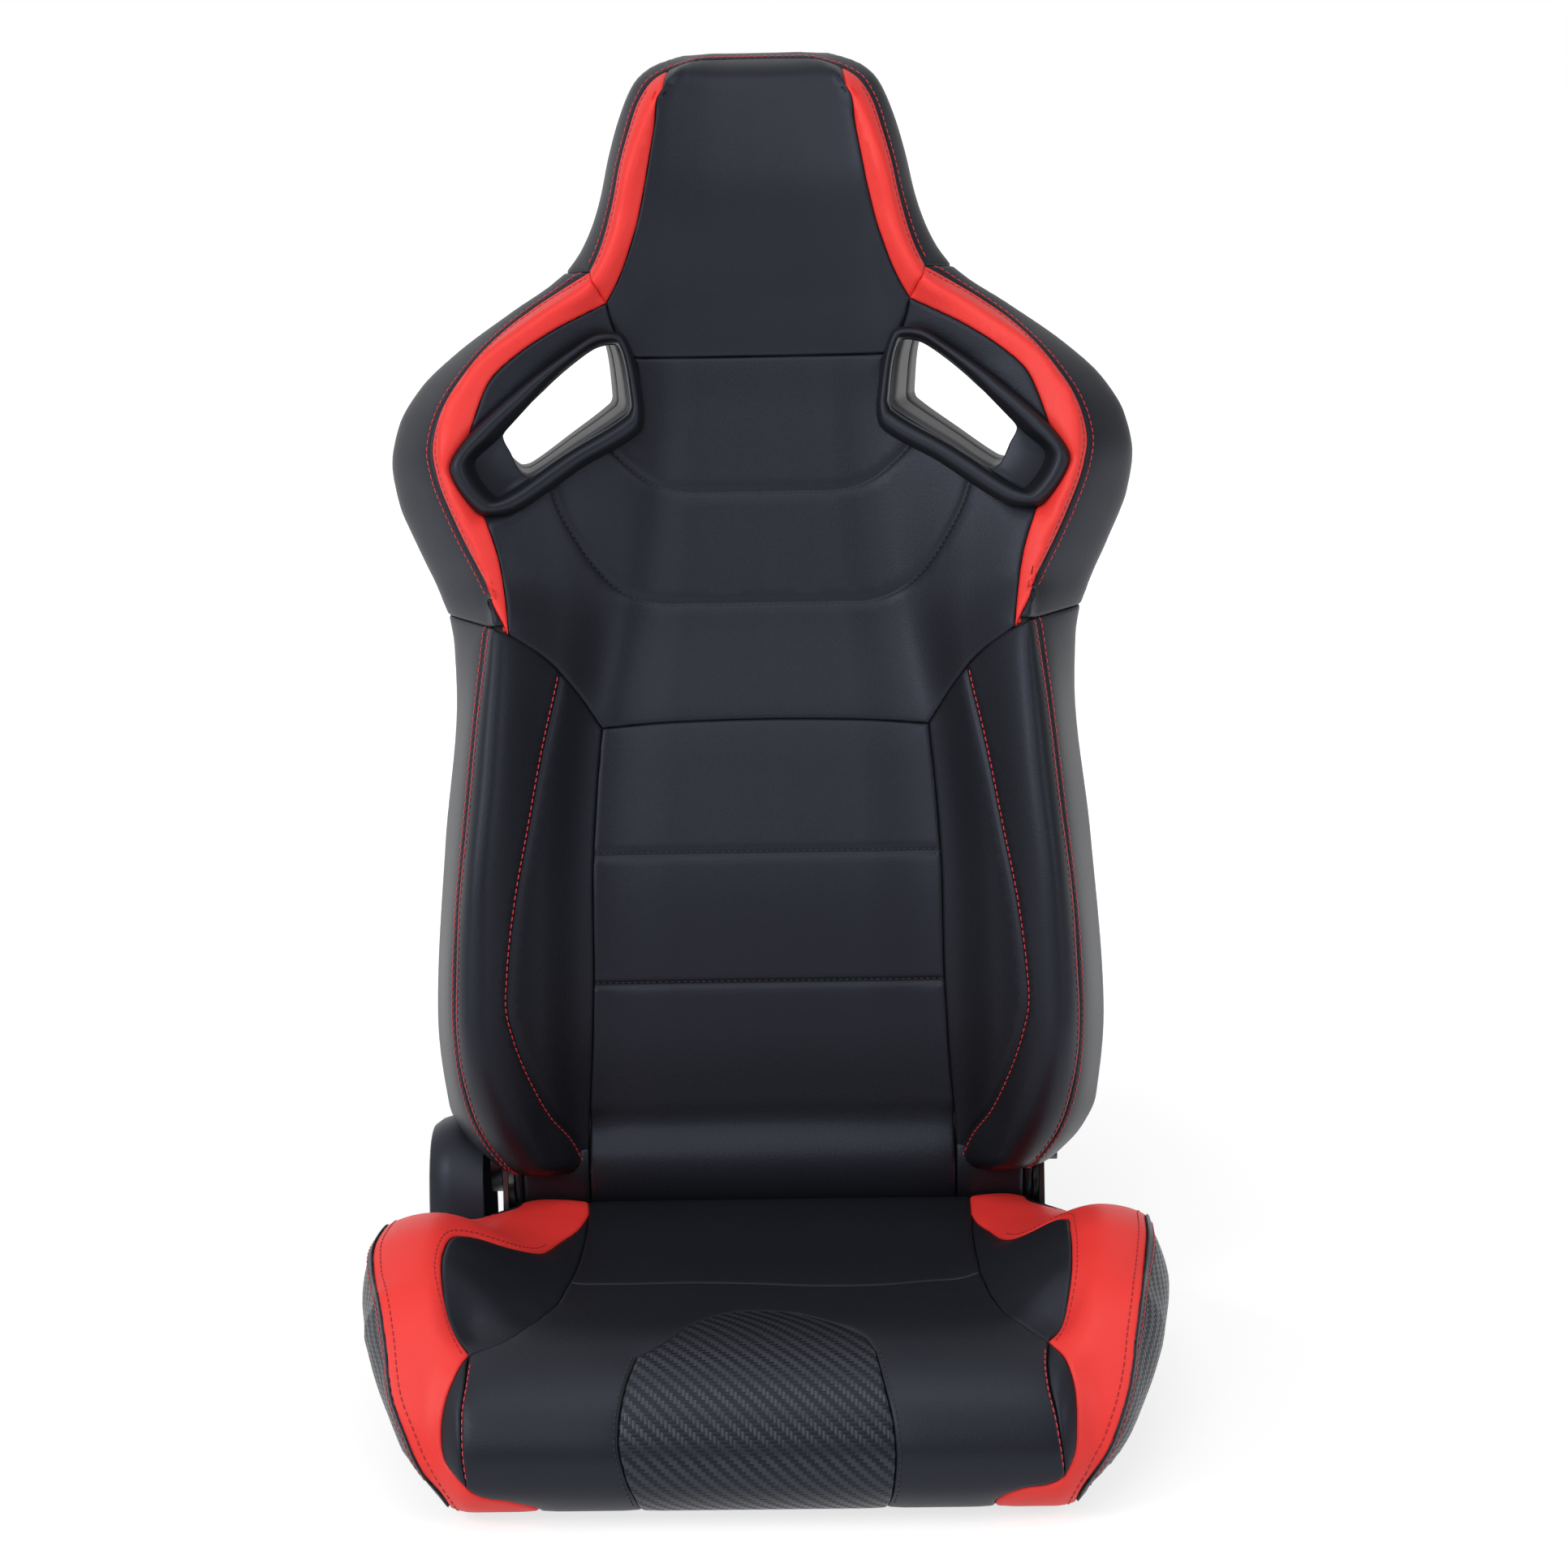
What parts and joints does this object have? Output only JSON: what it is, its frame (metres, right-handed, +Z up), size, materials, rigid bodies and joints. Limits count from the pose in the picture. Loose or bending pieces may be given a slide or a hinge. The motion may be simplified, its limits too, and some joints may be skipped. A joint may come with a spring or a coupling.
{
  "type": "racing seat",
  "caption": "Reclining sport bucket seat with side bolsters, integral headrest, harness openings in the shoulders and a sprung side recliner on a steel base frame.",
  "frame": {"origin": "on the floor, below the middle of the seat's bounding box", "axes": "+Z up, the sitter faces -Y, +X to the right of someone looking at the seat's front"},
  "size_m": [0.568, 0.6374, 0.9314],
  "materials": {
    "black_leather": "satin, fine pebble grain",
    "red_leather": "satin, fine pebble grain",
    "carbon_vinyl": "embossed twill vinyl, satin",
    "black_plastic": "moulded, satin",
    "black_steel": "black powder coat",
    "zinc_steel": "bright zinc plate",
    "spring_steel": "oiled spring steel"
  },
  "bodies": {
    "base": {"cushion_nose": "black_leather", "cushion_pad": "black_leather", "cushion_bolster_left": "red_leather", "cushion_bolster_right": "red_leather", "cushion_side_left": "carbon_vinyl", "cushion_side_right": "carbon_vinyl", "side_rail_left": "black_steel", "side_rail_right": "black_steel", "cross_tube_front": "black_steel", "cross_tube_rear": "black_steel", "seat_spring_1": "spring_steel", "seat_spring_2": "spring_steel", "seat_spring_3": "spring_steel", "seat_spring_4": "spring_steel", "recliner_base_plate_left": "zinc_steel", "pivot_plate_right": "black_steel", "hinge_pin_left": "zinc_steel", "hinge_pin_right": "zinc_steel", "plate_bolt_front_left": "zinc_steel", "plate_bolt_front_right": "zinc_steel", "plate_bolt_rear_left": "zinc_steel", "plate_bolt_rear_right": "zinc_steel", "pawl_pin": "zinc_steel", "return_spring": "spring_steel", "side_cover": "black_plastic"},
    "backrest": {"backrest_centre_pad": "black_leather", "upper_back_pad": "black_leather", "headrest_pad": "black_leather", "headrest_border": "black_leather", "backrest_bolster_left": "black_leather", "backrest_bolster_right": "black_leather", "shoulder_band_left": "red_leather", "shoulder_band_right": "red_leather", "shoulder_wing_left": "black_leather", "shoulder_wing_right": "black_leather", "headrest_band_left": "red_leather", "headrest_band_right": "red_leather", "rear_panel": "black_leather", "back_tube_left": "black_steel", "back_tube_right": "black_steel", "back_cross_tube_lower": "black_steel", "back_cross_tube_middle": "black_steel", "back_cross_tube_head": "black_steel", "back_spring_1": "spring_steel", "back_spring_2": "spring_steel", "back_spring_3": "spring_steel", "wing_wire_left": "black_steel", "wing_wire_right": "black_steel", "harness_bezel_front_left": "black_plastic", "harness_bezel_front_right": "black_plastic", "harness_bezel_rear_left": "black_plastic", "harness_bezel_rear_right": "black_plastic", "recliner_arm_left": "black_steel", "recliner_arm_right": "black_steel", "spring_peg": "zinc_steel"},
    "lever": {"lever_shaft": "zinc_steel", "release_lever": "black_plastic"},
    "pawl": {"locking_pawl": "zinc_steel"}
  },
  "joints": [
    {"name": "backrest_recline", "type": "hinge", "parent": "base", "child": "backrest", "pos_m": [0, 0.1053, 0.118], "axis": [-1, 0, 0], "range_deg": [-5, 55], "deforming": ["return_spring"]},
    {"name": "lever_lift", "type": "hinge", "parent": "base", "child": "lever", "pos_m": [0, 0.0833, 0.05], "axis": [-1, 0, 0], "range_deg": [0, 20], "stiffness_Nm_per_rad": 2, "springref_deg": -8.59},
    {"name": "pawl_release", "type": "hinge", "parent": "base", "child": "pawl", "pos_m": [0, 0.0713, 0.066], "axis": [-1, 0, 0], "range_deg": [0, 8.5]}
  ],
  "couplings": [
    {"joint": "pawl_release", "follows": "lever_lift", "ratio": 0.4}
  ]
}
